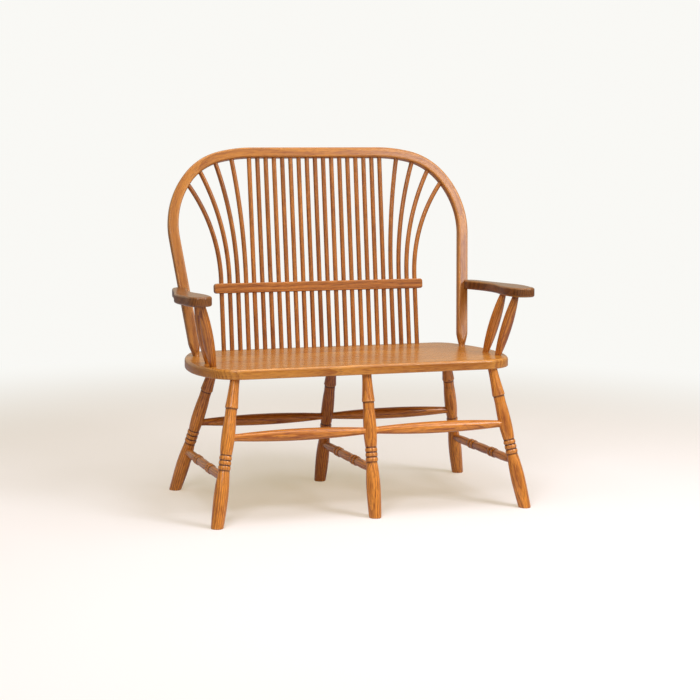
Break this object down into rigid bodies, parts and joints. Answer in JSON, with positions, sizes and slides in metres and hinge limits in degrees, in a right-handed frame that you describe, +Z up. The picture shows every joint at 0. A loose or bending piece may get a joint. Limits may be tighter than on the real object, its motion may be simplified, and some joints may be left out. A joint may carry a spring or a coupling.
{
  "type": "deacons bench",
  "caption": "Free-standing oak bench with a bent bow back, turned legs and stretchers, a plank seat and flat shaped arms on turned posts.",
  "frame": {"origin": "on the floor, under the middle of the whole bench", "axes": "+X along the bench to its right-hand end seen from the front, +Y towards the back, +Z up"},
  "size_m": [1.1168, 0.6646, 1.0871],
  "materials": {
    "oak_seat": "honey oak, open grain, clear satin-gloss lacquer",
    "oak_turned_base": "honey oak, open grain, clear satin-gloss lacquer",
    "oak_turned_posts": "honey oak, open grain, clear satin-gloss lacquer",
    "oak_arms": "honey oak, open grain, clear satin-gloss lacquer",
    "oak_bow": "honey oak, open grain, clear satin-gloss lacquer",
    "oak_back": "honey oak, open grain, clear satin-gloss lacquer"
  },
  "bodies": {
    "root": {"arm_left": "oak_arms", "arm_post_left_back": "oak_turned_posts", "arm_post_left_front": "oak_turned_posts", "arm_post_right_back": "oak_turned_posts", "arm_post_right_front": "oak_turned_posts", "arm_right": "oak_arms", "back_bow": "oak_bow", "back_leg_centre": "oak_turned_base", "back_leg_left": "oak_turned_base", "back_leg_right": "oak_turned_base", "back_rail": "oak_back", "back_stretcher_left": "oak_turned_base", "back_stretcher_right": "oak_turned_base", "front_leg_centre": "oak_turned_base", "front_leg_left": "oak_turned_base", "front_leg_right": "oak_turned_base", "front_stretcher_left": "oak_turned_base", "front_stretcher_right": "oak_turned_base", "seat": "oak_seat", "side_stretcher_centre": "oak_turned_base", "side_stretcher_left": "oak_turned_base", "side_stretcher_right": "oak_turned_base", "spindle_01": "oak_back", "spindle_02": "oak_back", "spindle_03": "oak_back", "spindle_04": "oak_back", "spindle_05": "oak_back", "spindle_06": "oak_back", "spindle_07": "oak_back", "spindle_08": "oak_back", "spindle_09": "oak_back", "spindle_10": "oak_back", "spindle_11": "oak_back", "spindle_12": "oak_back", "spindle_13": "oak_back", "spindle_14": "oak_back", "spindle_15": "oak_back", "spindle_16": "oak_back", "spindle_17": "oak_back", "spindle_18": "oak_back", "spindle_19": "oak_back", "spindle_20": "oak_back", "spindle_21": "oak_back", "spindle_22": "oak_back", "spindle_23": "oak_back", "spindle_24": "oak_back", "spindle_25": "oak_back"}
  },
  "joints": []
}
